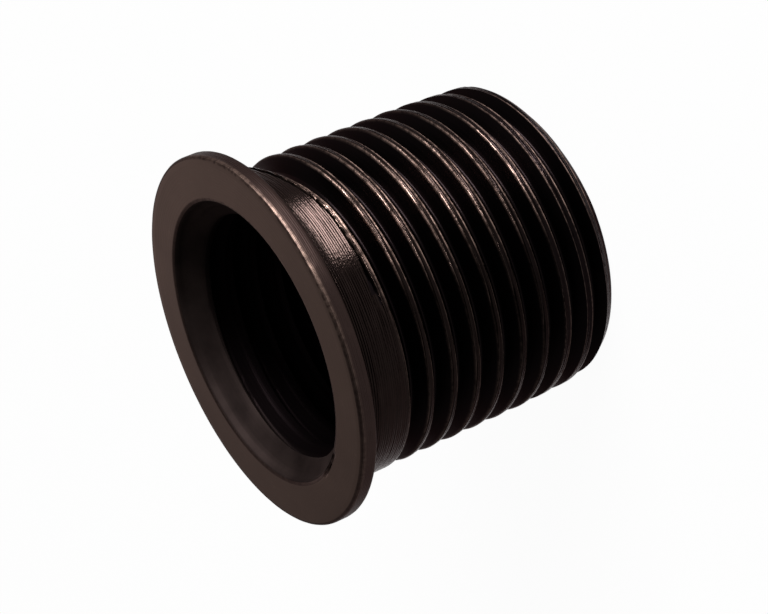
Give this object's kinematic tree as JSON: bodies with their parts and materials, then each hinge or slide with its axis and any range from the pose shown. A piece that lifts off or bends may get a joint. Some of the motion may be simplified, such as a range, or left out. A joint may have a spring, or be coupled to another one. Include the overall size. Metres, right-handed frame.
{
  "type": "threaded insert",
  "caption": "Flanged steel sleeve with a fine outer thread, a plain neck and a through bore threaded inside.",
  "frame": {"origin": "centre of the threaded end face, on the axis", "axes": "+Z along the axis from the threaded end towards the flange; +X fixes where the thread starts"},
  "size_m": [0.014, 0.014, 0.0119],
  "materials": {
    "black_oxide_steel": "black oxide"
  },
  "bodies": {
    "root": {"insert_body": "black_oxide_steel"}
  },
  "joints": []
}
